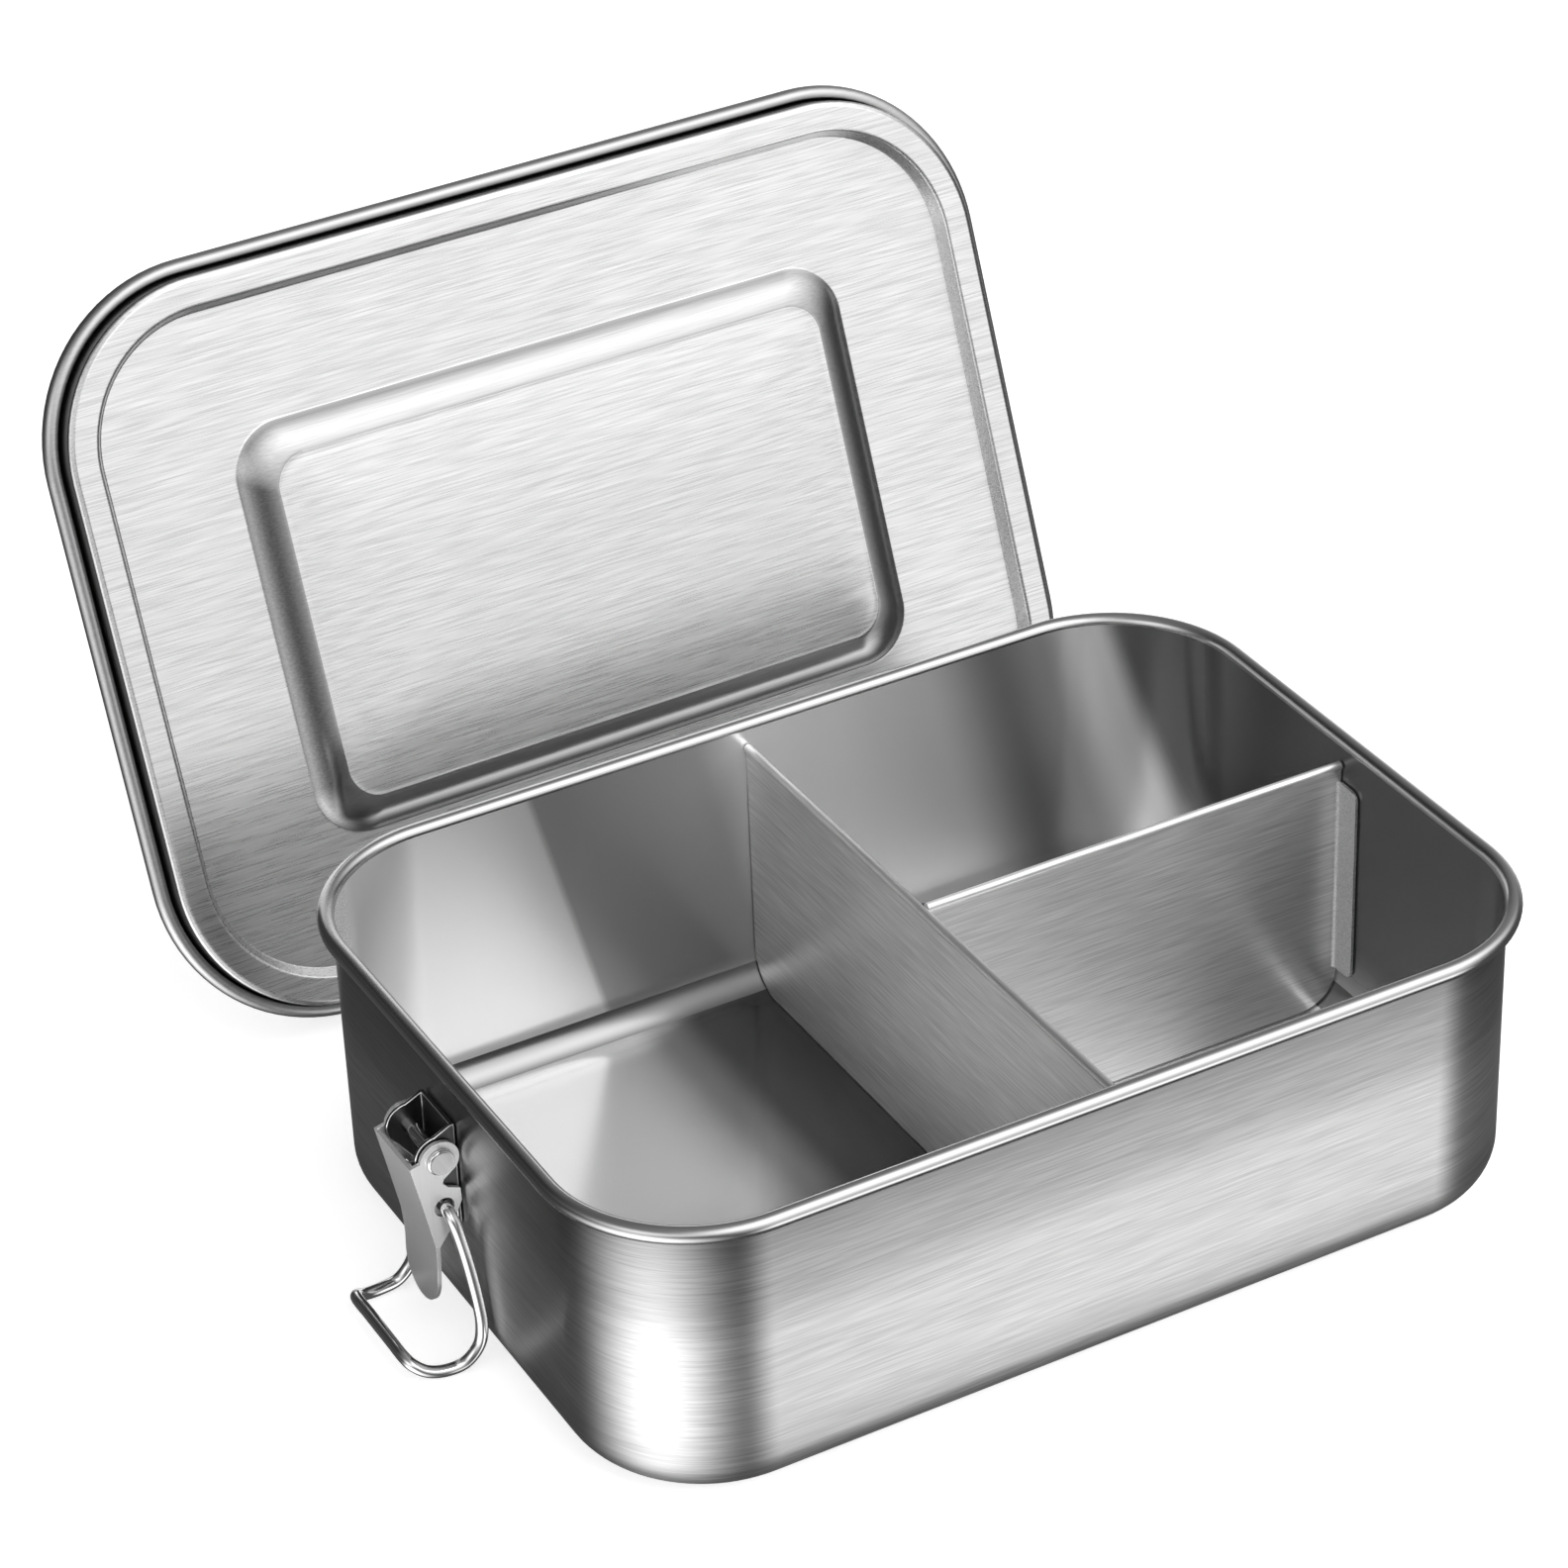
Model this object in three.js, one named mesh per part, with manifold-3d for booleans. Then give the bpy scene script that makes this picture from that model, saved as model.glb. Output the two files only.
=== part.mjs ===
// Two-clip stainless steel lunch box: a pressed tub with a rolled rim, two welded dividers that make
// three compartments, a pressed lid with its sealing ring, and a lever-and-bail clip on each short side.
// Millimetres, +Z up. X runs along the tub, +Y is its back, and the origin is the middle of its flat base.
import * as THREE from 'three';
import { mergeVertices } from 'three/addons/utils/BufferGeometryUtils.js';
import Module from 'manifold-3d';

const wasm = await Module();
wasm.setup();

// ---- driving dimensions ----
const SHEET = 0.6;                    // thickness of the pressed tub and lid
const GAP = 0.3;                      // clearance between pieces that touch on the real box
const CORNER_STEPS = 7;               // facets round each corner of the box
const CURL_STEPS = 11;                // facets round a rolled rim

const TUB = { length: 200, width: 145.4, height: 62, corner: 30.5, bead: 1.7, foot: 8.6 };
const LID = { length: 210, width: 155.5, corner: 36, bead: 1.9, ringTop: 6.5, shoulder: 1.5 };
const RING_INNER = 8.8;               // from the lid's outer edge to the inner edge of its raised ring
const FIELD_LEVEL = 3.5;              // height of the lid's flat field above the middle of its bead
const PANEL = { halfLength: 68.5, halfWidth: 42.5, corner: 11, rise: 3.3, slope: 7 };
const LID_LEAN = 68.9;                // degrees from lying flat: it stands on its long edge, face forward
const LID_TURN = 1.1;                 // degrees about the vertical
const LID_PLACE = { x: -2.3, y: 133.3 }; // middle of the lid, behind the tub
const SEAL = { inset: 4.1, width: 4.2, height: 2, top: LID.ringTop - SHEET - GAP };

const DIVIDER = { sheet: 0.8, hem: 0.9, top: 57.3, corner: 8, x: 2, y: 2 };
const FLANGE = { width: 6.4, low: 9.6, high: 53, longHigh: 48, corner: 2, sheet: 0.6 };

const WALL_X = TUB.length / 2 - 2 * TUB.bead + SHEET;     // outer face of the short walls
const CLIP_Y = 4;                     // middle of both clips along the short walls
const PIVOT = { out: 4.2, z: 42.4, shaft: 1.4, hole: 1.7, head: 2.65, headThick: 0.8 };
const BRACKET = { half: 6.4, sheet: 0.8, top: 48.3, low: 25, earNose: 4.3, earLow: 31 };
const LEVER = { half: 7.6, sheet: 0.8, head: 3.9, tongueHalf: 6.8, tip: 8.1 };
const BAIL = { wire: 1.2, eyeOut: 4, eyeZ: 31.9, eyeHole: 2, shift: 0.6 };

const STEEL = { color: 0xc9cacc, metalness: 1, roughness: 0.32 };
const POLISHED = { color: 0xd6d7d9, metalness: 1, roughness: 0.14 };
const SILICONE = { color: 0xe9ebec, metalness: 0, roughness: 0.55 };

// ---- helpers: meshes and booleans ----
function piece(name, geometry, finish) {
  const mesh = new THREE.Mesh(geometry, new THREE.MeshStandardMaterial(finish));
  mesh.name = name;
  return mesh;
}

function toSolid(geometry) {
  const bare = geometry.clone();
  bare.deleteAttribute('normal');
  bare.deleteAttribute('uv');
  const merged = mergeVertices(bare, 1e-4);
  const mesh = new wasm.Mesh({
    numProp: 3,
    vertProperties: new Float32Array(merged.attributes.position.array),
    triVerts: new Uint32Array(merged.index.array),
  });
  return new wasm.Manifold(mesh);
}

function toGeometry(solid) {
  const mesh = solid.getMesh();
  const geometry = new THREE.BufferGeometry();
  geometry.setAttribute('position', new THREE.BufferAttribute(mesh.vertProperties, 3));
  geometry.setIndex(new THREE.BufferAttribute(mesh.triVerts, 1));
  return geometry;
}

// Extrudes an outline and turns it so that (a, b, depth) becomes the axes that `place` gives.
function slab(outline, low, high, place, holes = []) {
  const shape = new THREE.Shape(outline.map(([a, b]) => new THREE.Vector2(a, b)));
  for (const hole of holes) {
    shape.holes.push(new THREE.Path(hole.map(([a, b]) => new THREE.Vector2(a, b))));
  }
  const geometry = new THREE.ExtrudeGeometry(shape, { depth: high - low, bevelEnabled: false });
  geometry.translate(0, 0, low);
  geometry.applyMatrix4(place);
  return toSolid(geometry);
}

const vector = (x, y, z) => new THREE.Vector3(x, y, z);
const FACING_X = new THREE.Matrix4().makeBasis(vector(0, 1, 0), vector(0, 0, 1), vector(1, 0, 0));
// The middle axis is reversed so that the basis stays right-handed: outlines are (x, z), depth is -Y.
const FACING_Y = new THREE.Matrix4().makeBasis(vector(1, 0, 0), vector(0, 0, 1), vector(0, -1, 0));

function arc(cx, cy, r, from, to, steps) {
  return Array.from({ length: steps + 1 }, (_, i) => {
    const a = THREE.MathUtils.degToRad(from + ((to - from) * i) / steps);
    return [cx + r * Math.cos(a), cy + r * Math.sin(a)];
  });
}

// ---- pressed shells: a rounded rectangle swept along a path of its half sizes ----
function roundedLoop({ hx, hy, r, z }) {
  const points = [];
  [[1, 1, 0], [-1, 1, 90], [-1, -1, 180], [1, -1, 270]].forEach(([sx, sy, start]) => {
    for (const [x, y] of arc(sx * (hx - r), sy * (hy - r), r, start, start + 90, CORNER_STEPS)) {
      points.push([x, y, z]);
    }
  });
  return points;
}

// Joins loops of equal size in turn. With `capped`, flat fans close the first and last loop;
// otherwise the last loop joins the first again, as a closed ring.
function loft(stations, capped) {
  const loops = stations.map(roundedLoop);
  const n = loops[0].length;
  const positions = loops.flat(2);
  const faces = [];
  const bands = capped ? loops.length - 1 : loops.length;
  for (let i = 0; i < bands; i++) {
    const a = i * n;
    const b = ((i + 1) % loops.length) * n;
    for (let k = 0; k < n; k++) {
      const m = (k + 1) % n;
      faces.push(a + k, b + k, b + m, a + k, b + m, a + m);
    }
  }
  if (capped) {
    const centre = positions.length / 3;
    const end = (loops.length - 1) * n;
    positions.push(0, 0, stations[0].z, 0, 0, stations.at(-1).z);
    for (let k = 0; k < n; k++) {
      const m = (k + 1) % n;
      faces.push(centre, k, m, centre + 1, end + m, end + k);
    }
  }
  const geometry = new THREE.BufferGeometry();
  geometry.setAttribute('position', new THREE.Float32BufferAttribute(positions, 3));
  geometry.setIndex(faces);
  return geometry;
}

// Moves each station sideways by `distance`, along the normal of the path in its (inset, z) plane.
function offsetPath(path, distance) {
  return path.map((p, i) => {
    const before = path[Math.max(i - 1, 0)];
    const after = path[Math.min(i + 1, path.length - 1)];
    const unit = (a, b) => {
      const length = Math.hypot(b.hx - a.hx, b.z - a.z);
      return [(b.hx - a.hx) / length, (b.z - a.z) / length];
    };
    const into = i > 0 ? unit(before, p) : unit(p, after);
    const out = i < path.length - 1 ? unit(p, after) : into;
    const dot = into[0] * out[0] + into[1] * out[1];
    const scale = distance / (1 + dot);
    const du = -(into[1] + out[1]) * scale;
    const dz = (into[0] + out[0]) * scale;
    return { hx: p.hx + du, hy: p.hy + du, r: p.r + du, z: p.z + dz };
  });
}

// A sheet of even thickness about a middle path that starts at the flat centre.
function pressedShell(path) {
  const upper = offsetPath(path, SHEET / 2);
  const under = offsetPath(path, -SHEET / 2).reverse();
  return loft([...upper, ...under], true);
}

const station = (box, inset, z) => ({
  hx: box.length / 2 - inset,
  hy: box.width / 2 - inset,
  r: box.corner - inset,
  z,
});

// Middle path of a rolled rim, from the wall round to its free edge. `way` is 1 over the top, -1 under.
function curl(box, z, way) {
  const middle = box.bead - SHEET / 2;
  const turns = arc(0, 0, middle, 180, -115, CURL_STEPS);
  return turns.map(([u, v]) => station(box, box.bead - u, z + way * v));
}

function tub() {
  const inset = 2 * TUB.bead - SHEET / 2;
  const footRadius = TUB.foot - SHEET / 2;
  const centre = inset + footRadius;
  const foot = arc(0, 0, footRadius, -90, 0, 5).map(([u, v]) => station(TUB, centre - u, TUB.foot + v));
  return pressedShell([...foot, ...curl(TUB, TUB.height - TUB.bead, 1)]);
}

// ---- lid, built flat: its face looks up +Z and the middle of its bead is at z = 0 ----
function lidPanel() {
  const { halfLength, halfWidth, corner, rise, slope } = PANEL;
  const level = FIELD_LEVEL - SHEET / 2;
  const shares = [[1, 1], [0.72, 0.88], [0.28, 0.12], [0, 0]];
  return shares.map(([in_, up]) => {
    const inset = in_ * slope;
    return { hx: halfLength - inset, hy: halfWidth - inset, r: corner - inset * 0.6, z: level + up * rise };
  });
}

function lid() {
  const half = SHEET / 2;
  const wall = 2 * LID.bead - half;
  const top = LID.ringTop - half;
  const step = [[1.9, FIELD_LEVEL - half], [1.4, FIELD_LEVEL + 0.2], [0.4, top - 0.5], [0, top]];
  const ringEdge = step.map(([inset, z]) => station(LID, RING_INNER + inset, z));
  const bend = LID.shoulder - half;
  const shoulder = arc(0, 0, bend, 90, 0, 3).map(([u, v]) => station(LID, wall + bend - u, top - bend + v));
  return pressedShell([...lidPanel(), ...ringEdge, ...shoulder, ...curl(LID, 0, -1)]);
}

function seal() {
  const { inset, width, height, top } = SEAL;
  const section = [[0, 0.5], [0, height], [width, height], [width, 0.5], [width - 0.6, 0], [0.6, 0]];
  return loft(section.map(([u, v]) => station(LID, inset + u, top - height + v)).reverse(), false);
}

function lidGroup() {
  const group = new THREE.Group();
  const lean = THREE.MathUtils.degToRad(LID_LEAN);
  const standing = (LID.width / 2 - LID.bead) * Math.sin(lean) + LID.bead;
  group.rotation.set(lean, 0, THREE.MathUtils.degToRad(LID_TURN), 'ZYX');
  group.position.set(LID_PLACE.x, LID_PLACE.y, standing);
  group.add(piece('lid', lid(), STEEL), piece('lid_seal', seal(), SILICONE));
  return group;
}

// ---- dividers: hemmed plates with their ends bent over as weld flanges ----
function plateOutline(low, high, bottom, corners) {
  const [left, right] = corners;
  return [
    ...arc(low + left, bottom + left, left, 180, 270, 4),
    ...arc(high - right, bottom + right, right, 270, 360, 4),
    [high, DIVIDER.top + 1],
    [low, DIVIDER.top + 1],
  ];
}

function hemSection(centre) {
  const half = DIVIDER.sheet / 2;
  const hemZ = DIVIDER.top - DIVIDER.hem;
  return [[centre - half, 0], [centre + half, 0], ...arc(centre, hemZ, DIVIDER.hem, -60, 240, 8)];
}

function flangeOutline(from, to, high) {
  const { low, corner } = FLANGE;
  const way = Math.sign(to - from);
  const points = [
    [from, low],
    [to - way * corner, low],
    [to, low + corner],
    [to, high - corner],
    [to - way * corner, high],
    [from, high],
  ];
  return way > 0 ? points : points.reverse();
}

function longDivider() {
  const reach = TUB.width / 2 - 2 * TUB.bead - GAP;
  const bottom = SHEET + GAP;
  const { x, sheet, corner } = DIVIDER;
  const outline = plateOutline(-reach, reach, bottom, [corner, corner]);
  let solid = slab(hemSection(x), -reach, reach, FACING_Y).intersect(slab(outline, x - 5, x + 5, FACING_X));
  for (const side of [-1, 1]) {
    const [near, far] = [reach, reach - FLANGE.sheet].map((y) => -side * y).sort((a, b) => a - b);
    const flange = flangeOutline(x - sheet / 2, x + FLANGE.width, FLANGE.longHigh);
    solid = solid.add(slab(flange, near, far, FACING_Y));
  }
  return toGeometry(solid);
}

function shortDivider() {
  const low = DIVIDER.x + DIVIDER.sheet / 2 + DIVIDER.hem;
  const high = TUB.length / 2 - 2 * TUB.bead - GAP;
  const bottom = SHEET + GAP;
  const { y, sheet, corner } = DIVIDER;
  const outline = plateOutline(low, high, bottom, [1, corner]);
  const section = hemSection(y);
  let solid = slab(section, low, high, FACING_X).intersect(slab(outline, -y - 5, -y + 5, FACING_Y));
  for (const [near, far] of [[low, low + FLANGE.sheet], [high - FLANGE.sheet, high]]) {
    const flange = flangeOutline(y + sheet / 2, y - FLANGE.width, FLANGE.high);
    solid = solid.add(slab(flange, near, far, FACING_X));
  }
  return toGeometry(solid);
}

// ---- clips: +X is out from the wall, whose outer face is x = 0, and Y runs along it ----
const circle = (cx, cy, r, steps = 16) => arc(cx, cy, r, 0, 360, steps).slice(0, -1);

function bracket() {
  const { half, sheet, top, low, earNose, earLow } = BRACKET;
  const back = [
    ...arc(-half + 2, low + 2, 2, 180, 270, 3),
    ...arc(half - 2, low + 2, 2, 270, 360, 3),
    [half, top],
    [-half, top],
  ];
  const nose = arc(PIVOT.out, PIVOT.z, earNose, -50, 88, 8);
  const ear = [[GAP, earLow], [GAP + sheet, earLow], ...nose, [GAP + sheet, top], [GAP, top]];
  let solid = slab(back, GAP, GAP + sheet, FACING_X);
  for (const y of [-half, half - sheet]) {
    solid = solid.add(slab(ear, y, y + sheet, FACING_Y, [circle(PIVOT.out, PIVOT.z, PIVOT.hole)]));
  }
  return toGeometry(solid);
}

function rivet() {
  const { shaft, head, headThick } = PIVOT;
  const inner = LEVER.half + GAP;
  const outer = inner + headThick;
  const half = [[shaft, inner], [head, inner], [head, outer - 0.3], [head - 0.5, outer], [0, outer]];
  const mirrored = half.map(([r, y]) => [r, -y]).reverse();
  const profile = [...mirrored, ...half].map(([r, y]) => new THREE.Vector2(r, y));
  const geometry = new THREE.LatheGeometry(profile, 16);
  geometry.translate(PIVOT.out, 0, PIVOT.z);
  return toGeometry(toSolid(geometry));
}

// The lever's front plate, as points (out, z) on its outer face from the top edge to the tip of the tongue.
const LEVER_FACE = [[10.1, 42.5], [8.05, 32.5], [6.3, 23.3], [6.2, 18], [6.5, 12], [6.7, LEVER.tip]];

function leverPlate() {
  const inside = LEVER_FACE.map(([out, z]) => [out - LEVER.sheet, z]).reverse();
  const band = slab([...inside, ...LEVER_FACE].reverse(), -LEVER.half, LEVER.half, FACING_Y);
  const { half, tongueHalf, tip } = LEVER;
  const front = [
    ...arc(0, tip + tongueHalf, tongueHalf, 180, 360, 10),
    [tongueHalf + 0.1, 18],
    [half, 24],
    [half, 43],
    [-half, 43],
    [-half, 24],
    [-tongueHalf - 0.1, 18],
  ];
  return band.intersect(slab(front, 0, 20, FACING_X));
}

function leverCheek() {
  const edge = LEVER_FACE.slice(0, 3).map(([out, z]) => [out - 0.1, z]).reverse();
  const head = arc(PIVOT.out, PIVOT.z, LEVER.head, 8, 222, 12);
  const rear = [[3.7, 38], [4, 37.1], [3, 36], [0.6, 35], [0.5, 32.3], [3.1, 26.7]];
  return [[5.6, 23.3], ...edge, ...head, ...rear];
}

function lever() {
  const { half, sheet } = LEVER;
  const holes = [
    circle(PIVOT.out, PIVOT.z, PIVOT.hole),
    circle(BAIL.eyeOut, BAIL.eyeZ, BAIL.eyeHole),
  ];
  let solid = leverPlate();
  for (const y of [-half, half - sheet]) {
    solid = solid.add(slab(leverCheek(), y, y + sheet, FACING_Y, holes));
  }
  return toGeometry(solid);
}

// Half of the bail's middle line, as points (out, along, z) from its end in the lever to its crossbar.
// The wire has play in its eyes, and hangs a little to one side of the lever.
const BAIL_HALF = [
  [BAIL.eyeOut, 4.8, BAIL.eyeZ],
  [BAIL.eyeOut, 8, BAIL.eyeZ],
  [3.8, 9.8, 30.6],
  [2.5, 11.4, 22.5],
  [1.8, 13.4, 13.5],
  [1.8, 14.2, 9],
  [2.7, 14.4, 5],
  [5.6, 14.3, 2],
  [9.6, 14, 1.5],
  [13, 13.2, 2.2],
  [15.2, 11.8, 3.7],
  [15.8, 9.8, 4.3],
  [15.8, 5, 4.3],
];

function bail() {
  const half = BAIL_HALF.map(([out, along, z]) => vector(out, along, z));
  const other = half.map((p) => vector(p.x, -p.y, p.z)).reverse();
  const route = new THREE.CatmullRomCurve3([...half, ...other], false, 'centripetal');
  const section = new THREE.Shape(circle(0, 0, BAIL.wire, 8).map(([a, b]) => new THREE.Vector2(a, b)));
  const geometry = new THREE.ExtrudeGeometry(section, { steps: 64, extrudePath: route, bevelEnabled: false });
  geometry.translate(0, BAIL.shift, 0);
  return toGeometry(toSolid(geometry));
}

function clip(side) {
  const group = new THREE.Group();
  const end = side > 0 ? 'right' : 'left';
  group.position.set(side * WALL_X, CLIP_Y, 0);
  group.rotation.z = side > 0 ? 0 : Math.PI;
  group.add(
    piece(`clip_bracket_${end}`, bracket(), STEEL),
    piece(`pivot_rivet_${end}`, rivet(), POLISHED),
    piece(`clip_lever_${end}`, lever(), STEEL),
    piece(`wire_bail_${end}`, bail(), POLISHED),
  );
  return group;
}

// ---- the lunch box ----
const lunchBox = new THREE.Group();
lunchBox.add(
  piece('tub', tub(), STEEL),
  piece('long_divider', longDivider(), STEEL),
  piece('short_divider', shortDivider(), STEEL),
  lidGroup(),
  clip(-1),
  clip(1),
);

export default lunchBox;
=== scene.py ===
"""Looks of a two-clip steel lunch box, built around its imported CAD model.

Every piece is rebuilt as smooth pressed sheet, folded strip or bent wire, in the CAD's own
places, and rides on the CAD body that it belongs to. Sizes are millimetres in the CAD's frame,
and `MM` turns them into metres. A sheet is drawn by its middle surface.
"""

import math

import bmesh
import bpy
from mathutils import Matrix, Vector


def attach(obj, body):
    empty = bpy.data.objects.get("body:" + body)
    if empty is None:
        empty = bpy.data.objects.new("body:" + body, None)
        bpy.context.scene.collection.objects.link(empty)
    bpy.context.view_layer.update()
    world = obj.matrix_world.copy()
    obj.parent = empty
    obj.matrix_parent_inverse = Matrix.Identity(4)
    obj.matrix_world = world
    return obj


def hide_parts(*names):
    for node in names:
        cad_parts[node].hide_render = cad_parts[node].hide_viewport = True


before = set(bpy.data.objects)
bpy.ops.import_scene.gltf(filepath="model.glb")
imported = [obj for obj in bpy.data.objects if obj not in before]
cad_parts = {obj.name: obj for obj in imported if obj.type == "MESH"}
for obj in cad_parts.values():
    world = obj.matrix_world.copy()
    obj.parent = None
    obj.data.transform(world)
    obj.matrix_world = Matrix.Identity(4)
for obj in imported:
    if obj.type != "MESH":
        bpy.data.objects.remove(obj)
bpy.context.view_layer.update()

# ---- driving dimensions, the same as the CAD's ----
MM = 0.001
SHEET = 0.6
TUB = {"length": 200, "width": 145.4, "height": 62, "corner": 30.5, "bead": 1.7, "foot": 8.6}
LID = {"length": 210, "width": 155.5, "corner": 36, "bead": 1.9, "ring_top": 6.5}
RING_INNER = 8.8
FIELD_LEVEL = 3.5
PANEL = {"half_length": 68.5, "half_width": 42.5, "corner": 11, "slope": 7}
LID_LEAN = 68.9  # degrees from lying flat
LID_TURN = 1.1  # degrees about the vertical
LID_PLACE = (-2.3, 133.3)
SEAL = {"inset": 4.1, "width": 4.2, "height": 2, "top": 5.55}
DIVIDER = {"sheet": 0.8, "hem": 0.9, "top": 57.3, "corner": 8, "x": 2, "y": 2}
FLANGE = {"width": 6.4, "low": 9.6, "high": 53, "long_high": 48, "corner": 2, "sheet": 0.6}
GAP = 0.3

WALL_X = TUB["length"] / 2 - 2 * TUB["bead"] + SHEET
CLIP_Y = 4
PIVOT = {"out": 4.2, "z": 42.4, "shaft": 1.4, "head": 2.65, "head_thick": 0.8}
BRACKET = {"half": 6.4, "sheet": 0.8, "top": 48.3, "low": 25, "ear_nose": 4.3, "ear_low": 31}
LEVER = {"half": 7.6, "sheet": 0.8, "head": 3.9, "tongue_half": 6.8, "tip": 8.1}
LEVER_FACE = [(10.1, 42.5), (8.05, 32.5), (6.3, 23.3), (6.2, 18), (6.5, 12), (6.7, 8.1)]
BAIL = {"wire": 1.2, "eye_out": 4, "eye_z": 31.9, "eye_hole": 2, "shift": 0.6}
BAIL_HALF = [
    (4, 4.8, 31.9), (4, 8, 31.9), (3.8, 9.8, 30.6), (2.5, 11.4, 22.5), (1.8, 13.4, 13.5),
    (1.8, 14.2, 9), (2.7, 14.4, 5), (5.6, 14.3, 2), (9.6, 14, 1.5), (13, 13.2, 2.2),
    (15.2, 11.8, 3.7), (15.8, 9.8, 4.3), (15.8, 5, 4.3),
]

CORNER_STEPS = 22
CURL_STEPS = 26
FOOT_STEPS = 14
CROWN_LOOPS = 12
SIDE_STEPS = 14
WIRE_SIDES = 20


# ---- outlines and paths ----
def arc(cx, cy, radius, start, end, steps):
    """Points on an arc, from the start angle to the end angle in degrees."""
    turns = [math.radians(start + (end - start) * i / steps) for i in range(steps + 1)]
    return [(cx + radius * math.cos(t), cy + radius * math.sin(t)) for t in turns]


def filleted(points, radii, steps=7):
    """The polyline through the points, with each inner corner rounded to its own radius."""
    path = [points[0]]
    for before, corner, after, radius in zip(points, points[1:], points[2:], radii):
        here = Vector(corner)
        back = (Vector(before) - here).normalized()
        ahead = (Vector(after) - here).normalized()
        half = back.angle(ahead) / 2
        reach = radius / math.tan(half)
        centre = here + (back + ahead).normalized() * (radius / math.sin(half))
        first = here + back * reach - centre
        last = here + ahead * reach - centre
        start = math.degrees(math.atan2(first.y, first.x))
        swing = (math.degrees(math.atan2(last.y, last.x)) - start + 180) % 360 - 180
        path += arc(centre.x, centre.y, radius, start, start + swing, steps)
    path.append(points[-1])
    return path


def rounded_loop(half_x, half_y, radius, z):
    """A rounded rectangle in a level plane, as a closed loop of points."""
    loop = []
    for sx, sy, start in ((1, 1, 0), (-1, 1, 90), (-1, -1, 180), (1, -1, 270)):
        cx, cy = sx * (half_x - radius), sy * (half_y - radius)
        loop += [(x, y, z) for x, y in arc(cx, cy, radius, start, start + 90, CORNER_STEPS)]
    return loop


def inset_loop(box, inset, z):
    """The loop that lies `inset` inside the outer edge of the tub or the lid."""
    half_x, half_y = box["length"] / 2 - inset, box["width"] / 2 - inset
    return rounded_loop(half_x, half_y, box["corner"] - inset, z)


def curl(box, way):
    """A rolled rim's middle path as (inset, z), from the wall round to its free edge."""
    bead = box["bead"]
    return [(bead - u, way * v) for u, v in arc(0, 0, bead - SHEET / 2, 180, -115, CURL_STEPS)]


# ---- meshes ----
def new_object(name, verts, faces, materials, smooth=True):
    """A mesh object from points in millimetres."""
    mesh = bpy.data.meshes.new(name)
    mesh.from_pydata([Vector(v) * MM for v in verts], [], faces)
    mesh.validate()
    for material in materials:
        mesh.materials.append(material)
    if smooth:
        mesh.shade_smooth()
    piece = bpy.data.objects.new(name, mesh)
    bpy.context.scene.collection.objects.link(piece)
    return piece


def orient(piece):
    """Turns every face of a closed mesh outwards."""
    work = bmesh.new()
    work.from_mesh(piece.data)
    bmesh.ops.recalc_face_normals(work, faces=work.faces)
    work.to_mesh(piece.data)
    work.free()


def bands(loop_count, loop_size, closed=False):
    """Quads that join loops of equal size in turn."""
    faces = []
    for i in range(loop_count if closed else loop_count - 1):
        a = i * loop_size
        b = ((i + 1) % loop_count) * loop_size
        for k in range(loop_size):
            m = (k + 1) % loop_size
            faces.append((a + k, a + m, b + m, b + k))
    return faces


def level_shading(piece):
    """Keeps flat stretches flat where they meet a curve."""
    modifier = piece.modifiers.new("flat_faces", "WEIGHTED_NORMAL")
    modifier.weight = 90
    modifier.keep_sharp = True


def pressed(name, loops, materials, zones):
    """A pressed sheet, from loops that run from the flat middle outwards.

    `zones` gives the material of each band's one side, and the next material is its other side's.
    """
    size = len(loops[0])
    verts = [point for loop in loops for point in loop]
    faces = [tuple(reversed(range(size)))] + bands(len(loops), size)
    piece = new_object(name, verts, faces, materials)
    piece.data.polygons[0].material_index = zones[0]
    for index, zone in enumerate(zones):
        for polygon in piece.data.polygons[1 + index * size:1 + (index + 1) * size]:
            polygon.material_index = zone
    solid = piece.modifiers.new("sheet", "SOLIDIFY")
    solid.thickness = SHEET * MM
    solid.offset = 0
    solid.use_even_offset = True
    solid.material_offset = 1
    solid.material_offset_rim = 1
    level_shading(piece)
    return piece


def swept(name, sections, materials, closed=False):
    """Joins closed sections of equal size in turn, with flat ends unless it closes on itself."""
    size = len(sections[0])
    verts = [point for section in sections for point in section]
    faces = bands(len(sections), size, closed)
    if not closed:
        faces.append(tuple(reversed(range(size))))
        faces.append(tuple(range(len(verts) - size, len(verts))))
    piece = new_object(name, verts, faces, materials)
    orient(piece)
    return piece


def edge_round(piece, width, segments=3, angle=35, edge_material=-1):
    """Rounds the sharp edges, so that they catch the light."""
    modifier = piece.modifiers.new("edges", "BEVEL")
    modifier.width = width * MM
    modifier.segments = segments
    modifier.limit_method = "ANGLE"
    modifier.angle_limit = math.radians(angle)
    modifier.use_clamp_overlap = True
    modifier.material = edge_material
    level_shading(piece)


def merge(name, pieces):
    """Joins several objects into one."""
    work = bmesh.new()
    for piece in pieces:
        work.from_mesh(piece.data)
    mesh = bpy.data.meshes.new(name)
    work.to_mesh(mesh)
    work.free()
    for material in pieces[0].data.materials:
        mesh.materials.append(material)
    for piece in pieces:
        bpy.data.objects.remove(piece)
    joined = bpy.data.objects.new(name, mesh)
    bpy.context.scene.collection.objects.link(joined)
    return joined


def combine(base, operation, other):
    """Adds a boolean of one solid with another."""
    modifier = base.modifiers.new(operation.lower(), "BOOLEAN")
    modifier.operation = operation
    modifier.solver = "MANIFOLD"
    modifier.object = other


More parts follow.
